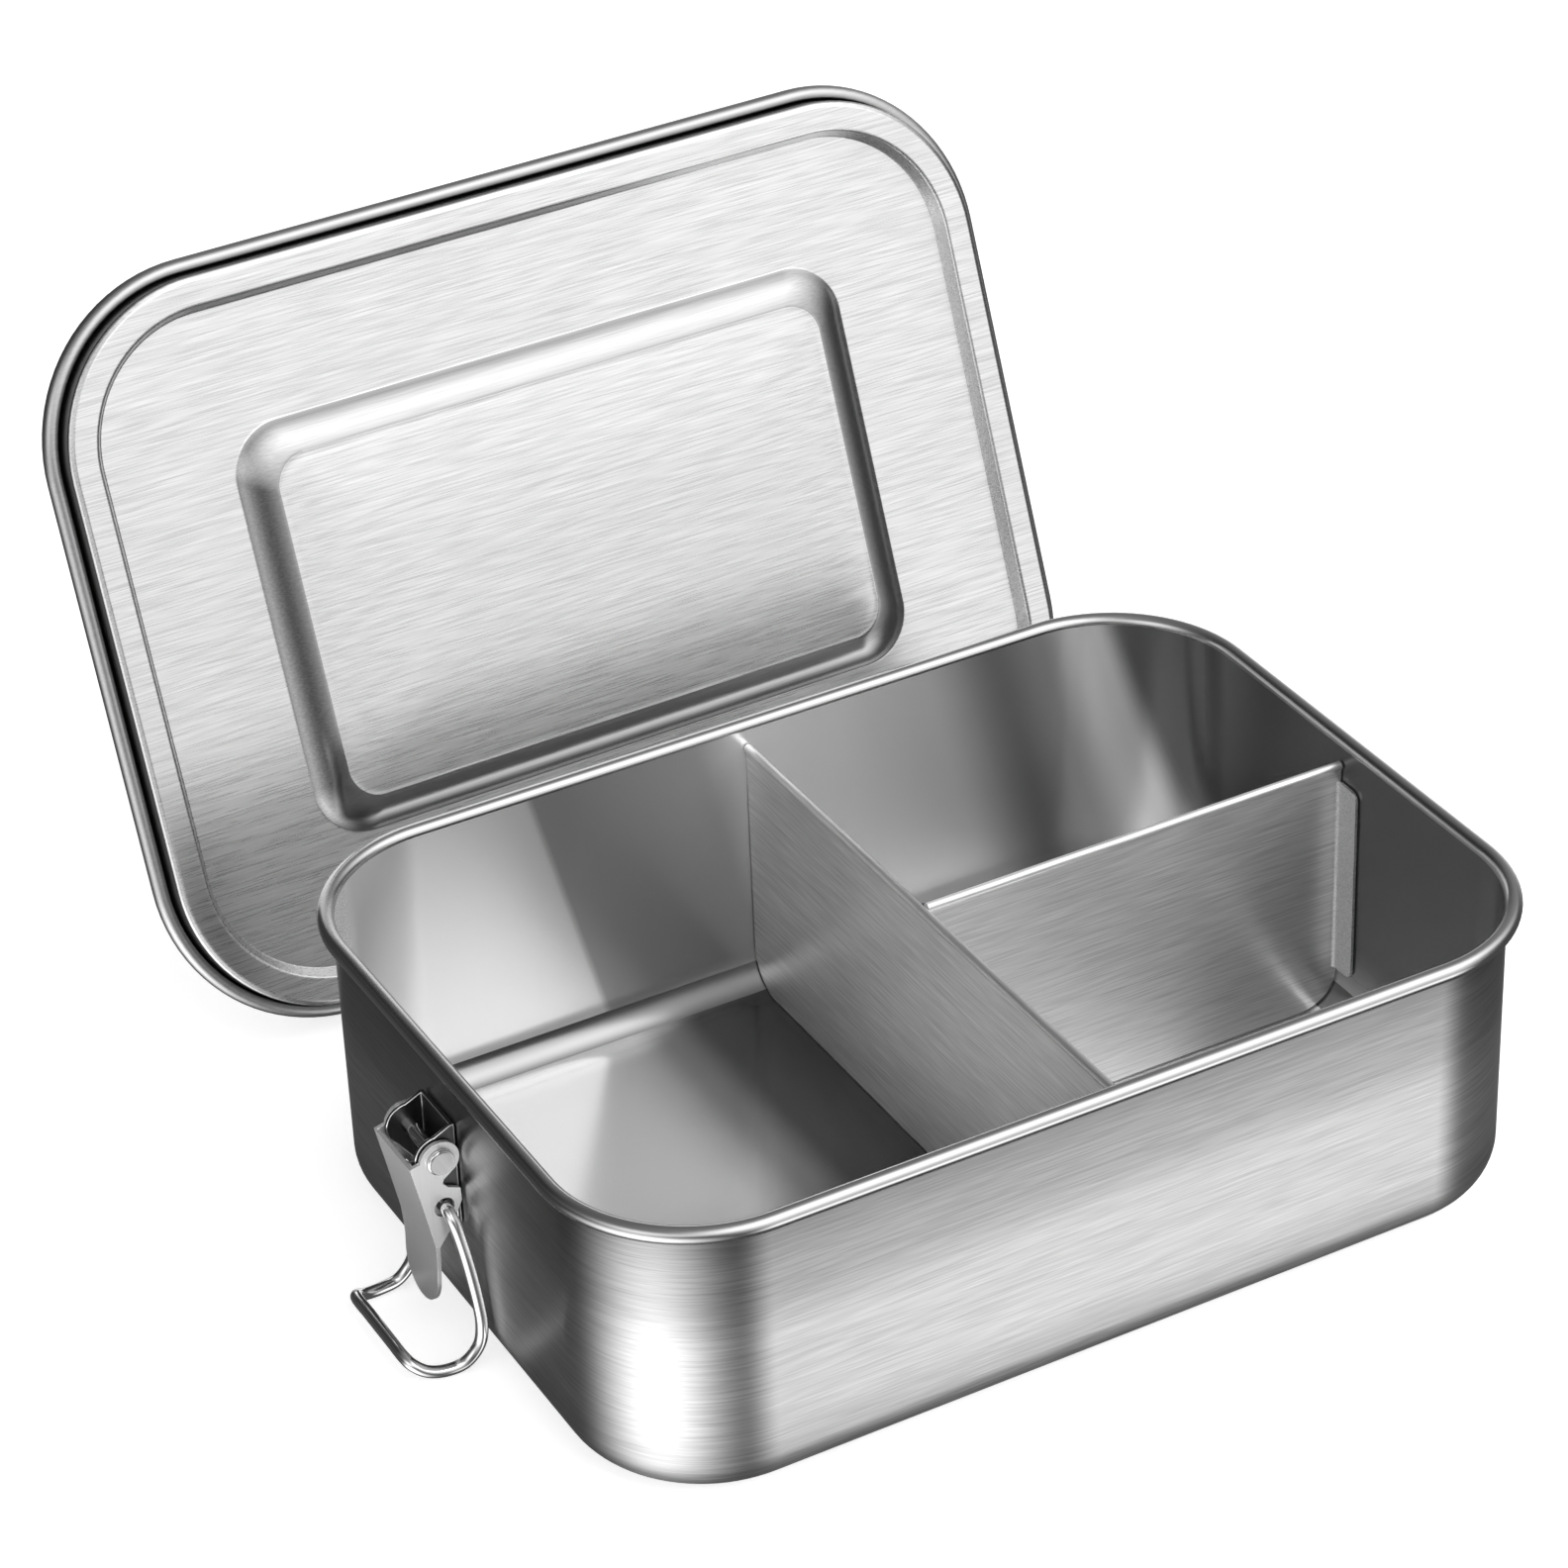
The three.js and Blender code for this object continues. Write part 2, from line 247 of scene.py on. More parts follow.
def united(name, pieces, holes=()):
    """One solid from several that overlap, with holes cut through it, scaled to metres."""
    base, *others = pieces
    for other in others:
        combine(base, "UNION", other)
    for hole in holes:
        combine(base, "DIFFERENCE", hole)
    bpy.context.view_layer.update()
    graph = bpy.context.evaluated_depsgraph_get()
    mesh = bpy.data.meshes.new_from_object(base.evaluated_get(graph))
    mesh.name = name
    mesh.transform(Matrix.Scale(MM, 4))
    work = bmesh.new()
    work.from_mesh(mesh)
    bmesh.ops.dissolve_limit(work, angle_limit=0.005, verts=work.verts[:], edges=work.edges[:])
    work.to_mesh(mesh)
    work.free()
    for piece in (*pieces, *holes):
        bpy.data.objects.remove(piece)
    joined = bpy.data.objects.new(name, mesh)
    bpy.context.scene.collection.objects.link(joined)
    return joined


def stands_for(piece, node, body):
    """Puts a finished piece in the CAD node's place, on its body."""
    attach(piece, body)
    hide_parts(node)
    return piece


# ---- materials ----
UP = (0, 0, 1)
GRAIN_SPREAD = 0.75


class Graph:
    """A small helper for laying out one material's nodes."""

    def __init__(self, name):
        self.material = bpy.data.materials.new(name)
        self.material.use_nodes = True
        self.tree = self.material.node_tree
        self.shader = self.tree.nodes["Principled BSDF"]

    def node(self, kind, settings=None, **inputs):
        made = self.tree.nodes.new(kind)
        for key, value in (settings or {}).items():
            setattr(made, key, value)
        for key, value in inputs.items():
            self.feed(made.inputs[key.replace("_", " ")], value)
        return made

    def feed(self, socket, value):
        if isinstance(value, bpy.types.NodeSocket):
            self.tree.links.new(value, socket)
        else:
            socket.default_value = value

    def position(self, scale, turn=0.0):
        """The piece's own coordinates, turned about z and then stretched by `scale` per metre."""
        place = self.node("ShaderNodeTexCoord").outputs["Object"]
        inverse = tuple(1 / s for s in scale)
        settings = {"vector_type": "TEXTURE"}
        made = self.node("ShaderNodeMapping", settings, Vector=place, Scale=inverse)
        made.inputs["Rotation"].default_value = (0, 0, math.radians(turn))
        return made.outputs["Vector"]

    def noise(self, scale, detail=2.0, roughness=0.5, turn=0.0):
        """Noise from 0 to 1, with `scale` cycles per metre along each axis."""
        shape = {"Scale": 1.0, "Detail": detail, "Roughness": roughness}
        made = self.node("ShaderNodeTexNoise", Vector=self.position(scale, turn), **shape)
        return made.outputs["Fac"]

    def spread(self, value, low, high):
        """Maps 0.25 to 0.75, where noise lies, to low to high."""
        made = self.node("ShaderNodeMapRange", {"clamp": False}, Value=value)
        self.limits(made, 0.25, 0.75, low, high)
        return made.outputs["Result"]

    def smooth(self, value, *numbers):
        """Maps a value between two pairs of limits, with a soft start and end."""
        settings = {"interpolation_type": "SMOOTHSTEP"}
        made = self.node("ShaderNodeMapRange", settings, Value=value)
        self.limits(made, *numbers)
        return made.outputs["Result"]

    @staticmethod
    def limits(mapped, *numbers):
        """Sets a Map Range node's four limits."""
        for key, number in zip(("From Min", "From Max", "To Min", "To Max"), numbers):
            mapped.inputs[key].default_value = number

    def ramp(self, direction, stops):
        """A factor that changes along a direction, from (millimetres, factor) stops."""
        along = self.node("ShaderNodeVectorMath", {"operation": "DOT_PRODUCT"})
        self.feed(along.inputs[0], self.node("ShaderNodeTexCoord").outputs["Object"])
        along.inputs[1].default_value = direction
        low, high = stops[0][0], stops[-1][0]
        level = self.node("ShaderNodeMapRange", Value=along.outputs["Value"])
        self.limits(level, low * MM, high * MM, 0, 1)
        ramp = self.node("ShaderNodeValToRGB", Fac=level.outputs["Result"])
        ramp.color_ramp.interpolation = "EASE"
        elements = ramp.color_ramp.elements
        while len(elements) < len(stops):
            elements.new(0.5)
        for element, (stop, factor) in zip(elements, stops):
            element.position = (stop - low) / (high - low)
            element.color = (factor, factor, factor, 1)
        return ramp.outputs["Color"]

    def maths(self, operation, first, second):
        """The result of one sum on two numbers or sockets."""
        made = self.node("ShaderNodeMath", {"operation": operation})
        self.feed(made.inputs[0], first)
        self.feed(made.inputs[1], second)
        return made.outputs[0]

    def grey(self, value):
        """A grey colour from a number."""
        made = self.node("ShaderNodeCombineColor")
        for key in ("Red", "Green", "Blue"):
            self.feed(made.inputs[key], value)
        return made.outputs["Color"]


def brushed_steel(name, grain, tone=0.62, roughness=0.28, contrast=0.12, rough_contrast=0.02,
                  bump=0.015, turn=0.0, shade=None, shade_along=UP, across=None, metallic=1.0):
    """Steel with a straight grain: `grain` is the noise's cycles per metre along x, y and z.

    A ramp of factors along a direction can multiply its tone, as painted light and shade. `across`
    is the direction across the grain, in which brushing spreads a reflection.
    """
    graph = Graph(name)
    lines = graph.noise(grain, detail=1.5, roughness=0.6, turn=turn)
    streaks = graph.noise(tuple(g * 0.35 for g in grain), detail=1.0, turn=turn)
    shader = graph.shader
    fine = graph.spread(lines, -contrast, contrast)
    broad = graph.spread(streaks, tone - contrast / 12, tone + contrast / 12)
    value = graph.maths("ADD", fine, broad)
    # Painted light and shade: the tone multiplied by a ramp of factors along a direction.
    if shade:
        value = graph.maths("MULTIPLY", value, graph.ramp(shade_along, shade))
    graph.feed(shader.inputs["Base Color"], graph.grey(value))
    gloss = graph.spread(lines, roughness - rough_contrast, roughness + rough_contrast)
    graph.feed(shader.inputs["Roughness"], gloss)
    if bump:
        raised = graph.node("ShaderNodeBump", Height=lines, Strength=bump, Distance=0.0002)
        graph.feed(shader.inputs["Normal"], raised.outputs["Normal"])
    shader.inputs["Metallic"].default_value = metallic
    if across:
        tangent = graph.node("ShaderNodeCombineXYZ")
        for socket, part in zip(tangent.inputs, across):
            socket.default_value = part
        graph.feed(shader.inputs["Tangent"], tangent.outputs["Vector"])
        shader.inputs["Anisotropic"].default_value = GRAIN_SPREAD
    return graph.material


def polished_steel(name, tone, roughness):
    """Drawn or polished steel, with a faint unevenness in its tone and gloss."""
    graph = Graph(name)
    cloud = graph.noise((40, 40, 40), detail=2.0)
    shader = graph.shader
    colour = graph.grey(graph.spread(cloud, tone - 0.015, tone + 0.015))
    graph.feed(shader.inputs["Base Color"], colour)
    graph.feed(shader.inputs["Roughness"], graph.spread(cloud, roughness - 0.02, roughness + 0.02))
    shader.inputs["Metallic"].default_value = 1.0
    return graph.material


def silicone(name):
    """Milky sealing rubber."""
    graph = Graph(name)
    cloud = graph.noise((300, 300, 300), detail=3.0)
    shader = graph.shader
    graph.feed(shader.inputs["Base Color"], graph.grey(graph.spread(cloud, 0.78, 0.86)))
    graph.feed(shader.inputs["Roughness"], graph.spread(cloud, 0.45, 0.6))
    shader.inputs["Subsurface Weight"].default_value = 0.3
    shader.inputs["Subsurface Radius"].default_value = (0.004, 0.004, 0.004)
    return graph.material


# The grain's cycles per metre across it and along it, and the ways it runs.
FINE, LONG = 3000, 80
ALONG_X, ALONG_Y, ALONG_Z = (LONG, FINE, FINE), (FINE, LONG, FINE), (FINE, FINE, LONG)
LID_UP = (0, math.cos(math.radians(LID_LEAN)), math.sin(math.radians(LID_LEAN)))

# Painted light and shade: changes of tone with place, as (millimetres along a direction, factor).
# Painted shade on the outer wall: darker towards its foot and under the rim.
WALL_PAINTED_SHADE = [(0, 0.5), (7, 0.72), (18, 0.95), (32, 0.93), (46, 0.6), (60, 0.42)]
# Painted reflections and shade on the inner walls: dark and light bands along x, slanted with
# height, standing in for the dividers' and walls' reflections.
INNER_PAINTED_REFLECTION_ALONG = (1, 0, 0.255)
INNER_PAINTED_REFLECTION = [
    (-100, 0.9), (-70, 1.0), (-31.5, 1.0), (-29.5, 0.48), (4, 0.54), (17, 1.0), (56, 1.0),
    (74, 0.36), (84, 0.6), (92, 1.0), (96, 0.9), (101, 0.18), (120, 0.15),
]
# Painted shade and painted reflection on the tub's floor: darker in the left compartment, darkest
# beside the long divider, for its reflection.
FLOOR_PAINTED_SHADE = [
    (-100, 0.54), (-30, 0.62), (-22.5, 0.42), (-13.8, 0.16), (1.5, 0.1), (2.5, 1.0), (100, 1.0),
]
# Painted light and shade on the levers: darker towards the bottom, lighter towards the top.
LEVER_PAINTED_SHADE = [(8, 0.66), (24, 0.84), (44, 1.1)]


def lid_sheet(name, **looks):
    """One of the lid's steels, whose grain runs along its long edge."""
    return brushed_steel(name, ALONG_X, turn=LID_TURN, **looks)


def smooth_inside(name, grain, **looks):
    """The steel inside the tub, with hardly any grain."""
    return brushed_steel(name, grain, contrast=0.01, rough_contrast=0.01, bump=0, **looks)


def divider_steel(name, grain):
    """A divider's steel, which is brushed more coarsely."""
    looks = {"tone": 0.86, "roughness": 0.38, "contrast": 0.16, "metallic": 0.85}
    return brushed_steel(name, grain, across=UP, **looks)


WALL_STEEL = brushed_steel(
    "wall_steel", (LONG, LONG, FINE), roughness=0.36, shade=WALL_PAINTED_SHADE, across=UP)
LID_STEEL = lid_sheet("lid_steel", roughness=0.28, across=LID_UP)
LID_EDGE_STEEL = lid_sheet("lid_edge_steel", tone=0.46, roughness=0.34, contrast=0.04)
# Painted shade: a near-black copy of the lid's steel for the groove between the ring and the rolled
# edge.
LID_GROOVE_PAINTED_SHADE_STEEL = lid_sheet("lid_groove_painted_shade_steel", tone=0.2, roughness=0.3, contrast=0.02)
LID_UNDER_STEEL = lid_sheet("lid_under_steel", tone=0.74, roughness=0.36, metallic=0.45)
# Painted shade: the panel's sloping sides are a darker copy of the lid's steel.
PANEL_SIDE_PAINTED_SHADE_STEEL = lid_sheet("panel_side_painted_shade_steel", tone=0.38, roughness=0.18, contrast=0.04)
# Painted shade: a dark steel for the inner bend where the tub's walls meet its floor.
FOOT_PAINTED_SHADE_STEEL = polished_steel("foot_painted_shade_steel", tone=0.3, roughness=0.2)
RIM_STEEL = polished_steel("rim_steel", tone=0.5, roughness=0.2)
INNER_STEEL = smooth_inside(
    "inner_steel", (60, 60, 20), tone=0.94, roughness=0.22, shade=INNER_PAINTED_REFLECTION,
    shade_along=INNER_PAINTED_REFLECTION_ALONG, across=UP, metallic=0.7)
FLOOR_STEEL = smooth_inside(
    "floor_steel", (60, 60, 60), tone=0.86, roughness=0.2, shade=FLOOR_PAINTED_SHADE,
    shade_along=(1, 0, 0), metallic=0.95)
LONG_DIVIDER_STEEL = divider_steel("long_divider_steel", ALONG_Y)
SHORT_DIVIDER_STEEL = divider_steel("short_divider_steel", ALONG_X)
LEVER_STEEL = brushed_steel(
    "lever_steel", ALONG_Z, tone=0.84, roughness=0.34, contrast=0.03, shade=LEVER_PAINTED_SHADE,
    metallic=0.7)
# Painted shade: the brackets' steel is near black, for the shade inside the clip.
BRACKET_PAINTED_SHADE_STEEL = brushed_steel(
    "bracket_painted_shade_steel", ALONG_Z, tone=0.13, roughness=0.4, contrast=0.02)
EDGE_STEEL = polished_steel("edge_steel", tone=0.9, roughness=0.22)
BRIGHT_STEEL = polished_steel("bright_steel", tone=0.72, roughness=0.1)
SEAL_SILICONE = silicone("seal_silicone")


# ---- tub ----
def tub():
    wall_inset = 2 * TUB["bead"] - SHEET / 2
    foot_radius = TUB["foot"] - SHEET / 2
    foot_inset = wall_inset + foot_radius
    bend = arc(0, 0, foot_radius, -90, 0, FOOT_STEPS)
    foot = [(foot_inset - u, TUB["foot"] + v) for u, v in bend]
    rim_level = TUB["height"] - TUB["bead"]
    rim = [(inset, rim_level + z) for inset, z in curl(TUB, 1)]
    path = [(foot_inset + 3, SHEET / 2)] + foot + rim
    loops = [inset_loop(TUB, inset, z) for inset, z in path]
    # Inside the foot's bend the dark steel stands as painted shade.
    zones = [4] * 5 + [6] * 7 + [0] * (len(foot) - 11) + [2] * (len(rim) - 1)
    materials = [
        WALL_STEEL, INNER_STEEL, RIM_STEEL, RIM_STEEL,
        WALL_STEEL, FLOOR_STEEL, WALL_STEEL, FOOT_PAINTED_SHADE_STEEL,
    ]
    piece = pressed("tub_shell", loops, materials, zones)
    return stands_for(piece, "tub", "tub")


# ---- lid, built flat and then leaned back ----
def lid_pose():
    lean = math.radians(LID_LEAN)
    standing = (LID["width"] / 2 - LID["bead"]) * math.sin(lean) + LID["bead"]
    place = Matrix.Translation(Vector((*LID_PLACE, standing)) * MM)
    return place @ Matrix.Rotation(math.radians(LID_TURN), 4, "Z") @ Matrix.Rotation(lean, 4, "X")


def panel_loops():
    """The raised panel: a faint crown, a small dip round its edge, and a rounded slope down."""
    level = FIELD_LEVEL - SHEET / 2
    slope = PANEL["slope"]
    steep, shallow = math.radians(41), math.radians(9)
    radius = slope / (math.sin(steep) - math.sin(shallow))
    middle = slope + radius * math.sin(shallow)
    low = radius * math.cos(steep)
    top = level + radius * math.cos(shallow) - low
    crown = [
        (slope + 1.6 + s, top + 0.55 * (1 - (1 - s / 26) ** 2))
        for s in (26, 21, 16, 12, 8, 5, 2.5, 1, 0.3)
    ]
    edge = [(slope + 1.2, top - 0.03), (slope + 0.7, top - 0.06), (slope + 0.25, top - 0.05)]
    turns = [shallow + (steep - shallow) * i / SIDE_STEPS for i in range(SIDE_STEPS + 1)]
    side = [(middle - radius * math.sin(t), level + radius * math.cos(t) - low) for t in turns]
    foot = [(-0.25, level - 0.07), (-0.6, level)]
    side[-1] = (side[-1][0], level + 0.08)
    section = crown + edge + side + foot
    loops = []
    for inset, z in section:
        half_x, half_y = PANEL["half_length"] - inset, PANEL["half_width"] - inset
        loops.append(rounded_loop(half_x, half_y, PANEL["corner"] - min(inset, 12) * 0.6, z))
    return loops


def lid():
    half = SHEET / 2
    field = FIELD_LEVEL - half
    top = LID["ring_top"] - half
    wall = 2 * LID["bead"] - half
    corners = [
        (RING_INNER + 6, field), (RING_INNER + 1.6, field), (RING_INNER + 0.2, top),
        (wall + 0.9, top), (wall, top - 0.5), (wall, 0),
    ]
    section = filleted(corners, [0.6, 0.6, 0.5, 0.6])[:-1] + curl(LID, -1)
    loops = panel_loops() + [inset_loop(LID, inset, z) for inset, z in section]
    zones = [0] * (len(loops) - 1)
    # The panel's sloping sides get the darker steel, as painted shade.
    zones[CROWN_LOOPS:CROWN_LOOPS + SIDE_STEPS] = [2] * SIDE_STEPS
    edge = len(zones) - CURL_STEPS
    # Painted shade: the groove between the ring and the rolled edge gets the near-black steel.
    zones[edge - 4:edge + 5] = [4] * 9
    zones[edge + 5:] = [6] * (CURL_STEPS - 5)
    steels = [
        LID_UNDER_STEEL, LID_STEEL, LID_UNDER_STEEL, PANEL_SIDE_PAINTED_SHADE_STEEL,
        LID_UNDER_STEEL, LID_GROOVE_PAINTED_SHADE_STEEL, LID_EDGE_STEEL, LID_EDGE_STEEL,
    ]
    piece = pressed("lid_shell", loops, steels, zones)
    piece.data.transform(lid_pose())
    return stands_for(piece, "lid", "lid")


def lid_seal():
    inset, width, top = SEAL["inset"], SEAL["width"], SEAL["top"]
    low = top - SEAL["height"]
    far, step = inset + width, low + 0.6
    corners = [
        (inset, top), (far, top), (far, step), (far - 1.1, step), (far - 1.6, low),
        (inset + 1.6, low), (inset + 1.1, step), (inset, step), (inset, top),
    ]
    section = filleted(corners, [0.25, 0.25, 0.2, 0.3, 0.3, 0.2, 0.25], steps=3)[:-1]
    loops = [inset_loop(LID, a, z) for a, z in section]
    piece = swept("seal_ring", loops, [SEAL_SILICONE], closed=True)
    level_shading(piece)
    piece.data.transform(lid_pose())
    return stands_for(piece, "lid_seal", "lid")


# ---- dividers ----
def divider_plate(name, low, high, corners, place, material):
    """A hemmed plate from low to high; `place` turns (along, across, z) into the tub's frame."""
    half = DIVIDER["sheet"] / 2
    bottom = SHEET + GAP
    hem_z = DIVIDER["top"] - DIVIDER["hem"]
    hem = arc(0, hem_z, DIVIDER["hem"], -55, 235, 16)
    left, right = corners
    turns = quarter()
    start = [(low + left - left * math.cos(t), left - left * math.sin(t)) for t in turns]
    end = [(high - right + right * math.cos(t), right - right * math.sin(t)) for t in turns[::-1]]
    sections = []
    for along, lift in start + end:
        z = bottom + lift
        foot = [(-half + 0.12, z), (half - 0.12, z), (half, z + 0.12)]
        outline = foot + [(half, hem_z - 1.4)] + hem + [(-half, hem_z - 1.4), (-half, z + 0.12)]
        sections.append([place(along, across, level) for across, level in outline])
    return swept(name, sections, [material])


def quarter(steps=12):
    return [math.radians(90 * i / steps) for i in range(steps + 1)]


def end_flange(name, end, inward, side, top, place, material):
    """The plate's end, bent over along the wall at `end`; `side` is the way that it turns."""
    sheet, width, corner = FLANGE["sheet"], FLANGE["width"], FLANGE["corner"]
    bend = 1.3
    middle = end + inward * (sheet / 2)
    turn = [
        (middle + inward * bend * (1 - math.sin(t)), side * bend * (1 - math.cos(t)))
        for t in quarter(8)
    ]
    run = [(middle, side * (bend + (width - bend) * s)) for s in (0.3, 0.6, 0.8, 0.9, 0.96, 1)]
    path = [(end + inward * 3.2, 0.0)] + turn + run
    sections = []
    for index, (along, across) in enumerate(path):
        past = max(0.0, abs(across) - (width - corner))
        trim = corner - math.sqrt(max(corner * corner - past * past, 0))
        before = Vector(path[max(index - 1, 0)])
        after = Vector(path[min(index + 1, len(path) - 1)])
        ahead = (after - before).normalized() * (sheet / 2)
        low, high = FLANGE["low"] + trim, top - trim
        sections.append([
            place(along - ahead.y, across + ahead.x, low),
            place(along + ahead.y, across - ahead.x, low),
            place(along + ahead.y, across - ahead.x, high),
            place(along - ahead.y, across + ahead.x, high),
        ])
    return swept(name, sections, [material])


def divider(name, ends, corners, flange_side, flange_top, place, material, node):
    low, high = ends
    parts = [
        divider_plate(name + "_plate", low, high, corners, place, material),
        end_flange(name + "_low_flange", low, 1, flange_side, flange_top, place, material),
        end_flange(name + "_high_flange", high, -1, flange_side, flange_top, place, material),
    ]
    piece = merge(name, parts)
    piece.data.shade_smooth()
    edge_round(piece, 0.12, segments=2)
    return stands_for(piece, node, "tub")


def dividers():
    reach = TUB["width"] / 2 - 2 * TUB["bead"] - GAP
    corner = DIVIDER["corner"]
    divider("long_divider_plate", (-reach, reach), (corner, corner), 1, FLANGE["long_high"],
            lambda along, across, z: (DIVIDER["x"] + across, along, z),
            LONG_DIVIDER_STEEL, "long_divider")
    low = DIVIDER["x"] + DIVIDER["sheet"] / 2 + DIVIDER["hem"]
    high = TUB["length"] / 2 - 2 * TUB["bead"] - GAP
    divider("short_divider_plate", (low, high), (1, corner), -1, FLANGE["high"],
            lambda along, across, z: (along, DIVIDER["y"] + across, z),
            SHORT_DIVIDER_STEEL, "short_divider")


# ---- clips, in their own frame: x is out from the wall, y runs along it ----
def slab(name, outline, low, high, place, material=LEVER_STEEL):
    """A flat plate from a closed outline, not yet scaled to metres."""
    size = len(outline)
    verts = [place(a, b, depth) for depth in (low, high) for a, b in outline]
    faces = [tuple(reversed(range(size))), tuple(range(size, 2 * size))] + bands(2, size)
    piece = new_object(name, [Vector(v) / MM for v in verts], faces, [material, EDGE_STEEL])
    orient(piece)
    return piece


def facing_x(a, b, depth):
    return depth, a, b


def facing_y(a, b, depth):
    return a, depth, b


def circle(cx, cy, radius, steps=32):
    return arc(cx, cy, radius, 0, 360, steps)[:-1]


def bracket(end):
    half, sheet, top, low = BRACKET["half"], BRACKET["sheet"], BRACKET["top"], BRACKET["low"]
    front = GAP + sheet
    back = arc(-half + 2, low + 2, 2, 180, 270, 6) + arc(half - 2, low + 2, 2, 270, 360, 6)
    back += [(half, top), (-half, top)]
    nose = arc(PIVOT["out"], PIVOT["z"], BRACKET["ear_nose"], -50, 88, 24)
    ear = [(GAP, BRACKET["ear_low"]), (front, BRACKET["ear_low"])] + nose
    ear += [(front, top), (GAP, top)]
    # The bracket's plates are in the near-black steel, as painted shade inside the clip.
    parts = [slab("back", back, GAP, front, facing_x, BRACKET_PAINTED_SHADE_STEEL)]
    for y in (-half, half - sheet):
        parts.append(slab("ear", ear, y, y + sheet, facing_y, BRACKET_PAINTED_SHADE_STEEL))
    piece = united(f"bracket_{end}", parts)
    edge_round(piece, 0.2, edge_material=1)
    return piece


def lever_plate():
    sheet, half, tongue, tip = LEVER["sheet"], LEVER["half"], LEVER["tongue_half"], LEVER["tip"]
    face = filleted(LEVER_FACE, [30, 12, 25, 25], steps=5)
    front = arc(0, tip + tongue, tongue, 180, 360, 28)
    front += [(tongue + 0.1, 18), (half, 24), (half, 43)]
    front += [(-half, 43), (-half, 24), (-tongue - 0.1, 18)]
    band = [(out - sheet, z) for out, z in reversed(face)] + face
    return slab("plate", band, -half, half, facing_y), slab("front", front, 0, 20, facing_x)


def cheek_outline():
    edge = [(out - 0.1, z) for out, z in reversed(LEVER_FACE[:3])]
    head = arc(PIVOT["out"], PIVOT["z"], LEVER["head"], 8, 222, 30)
    rear = [(3.7, 38), (4, 37.1), (3, 36), (0.6, 35), (0.5, 32.3), (3.1, 26.7)]
    return [(5.6, 23.3)] + edge + head + rear


def lever(end):
    half, sheet = LEVER["half"], LEVER["sheet"]
    plate, trim = lever_plate()
    combine(plate, "INTERSECT", trim)
    parts = [plate]
    for y in (-half, half - sheet):
        parts.append(slab("cheek", cheek_outline(), y, y + sheet, facing_y))
    eye = slab("eye", circle(BAIL["eye_out"], BAIL["eye_z"], BAIL["eye_hole"]), -20, 20, facing_y)
    piece = united(f"lever_{end}", parts, [eye])
    bpy.data.objects.remove(trim)
    edge_round(piece, 0.22, edge_material=1)
    return piece


def rivet(end):
    inner = LEVER["half"] + 0.05
    outer = LEVER["half"] + GAP + PIVOT["head_thick"]
    shaft, head = PIVOT["shaft"], PIVOT["head"]
    half = [(0, outer), *arc(head - 0.5, outer - 0.5, 0.5, 90, 0, 5), (head, inner), (shaft, inner)]
    profile = half + [(r, -y) for r, y in reversed(half)]
    rings = []
    for r, y in profile[1:-1]:
        rings.append([
            (PIVOT["out"] + r * math.cos(t), y, PIVOT["z"] + r * math.sin(t))
            for t in full_turn(40)
        ])
    piece = swept(f"rivet_{end}", rings, [BRIGHT_STEEL])
    level_shading(piece)
    return piece


def full_turn(steps):
    return [2 * math.pi * i / steps for i in range(steps)]


def bail(end):
    """The bent wire: a smooth curve through the route, with rounded ends."""
    route = [Vector(p) for p in BAIL_HALF]
    route += [Vector((x, -y, z)) for x, y, z in reversed(BAIL_HALF)]
    points = through(route, 8)
    wire = BAIL["wire"]
    sections = []
    side = Vector(UP)
    for index, point in enumerate(points):
        ahead = points[min(index + 1, len(points) - 1)] - points[max(index - 1, 0)]
        ahead.normalize()
        side = (side - ahead * side.dot(ahead)).normalized()
        sections.append((point, ahead, side, ahead.cross(side)))

    def ring(section, push, radius):
        """A circle round the wire, pushed along it."""
        point, ahead, side, up = section
        return [
            point + ahead * push + (side * math.cos(a) + up * math.sin(a)) * radius
            for a in full_turn(WIRE_SIDES)
        ]

    def dome(section, sign):
        """The wire's rounded end, from its tip inwards."""
        turns = [math.radians(degrees) for degrees in (85, 60, 30)]
        return [
            ring(section, sign * wire * 0.5 * math.sin(t), wire * (0.5 + 0.5 * math.cos(t)))
            for t in turns
        ]

    tube = [ring(section, 0, wire) for section in sections]
    rings = dome(sections[0], -1) + tube + dome(sections[-1], 1)[::-1]
    moved = Vector((0, BAIL["shift"], 0))
    loops = [[point + moved for point in loop] for loop in rings]
    return swept(f"bail_{end}", loops, [BRIGHT_STEEL])


def through(points, steps):
    """A centripetal Catmull-Rom curve through the points."""
    ends = [points[0] * 2 - points[1]] + points + [points[-1] * 2 - points[-2]]
    curve = []
    for a, b, c, d in zip(ends, ends[1:], ends[2:], ends[3:]):
        t1 = math.sqrt((b - a).length)
        t2 = t1 + math.sqrt((c - b).length)
        t3 = t2 + math.sqrt((d - c).length)
        for i in range(steps):
            t = t1 + (t2 - t1) * i / steps
            p = a.lerp(b, t / t1)
            q = b.lerp(c, (t - t1) / (t2 - t1))
            r = c.lerp(d, (t - t2) / (t3 - t2))
            u = p.lerp(q, t / t2)
            v = q.lerp(r, (t - t1) / (t3 - t1))
            curve.append(u.lerp(v, (t - t1) / (t2 - t1)))
    curve.append(points[-1])
    return curve


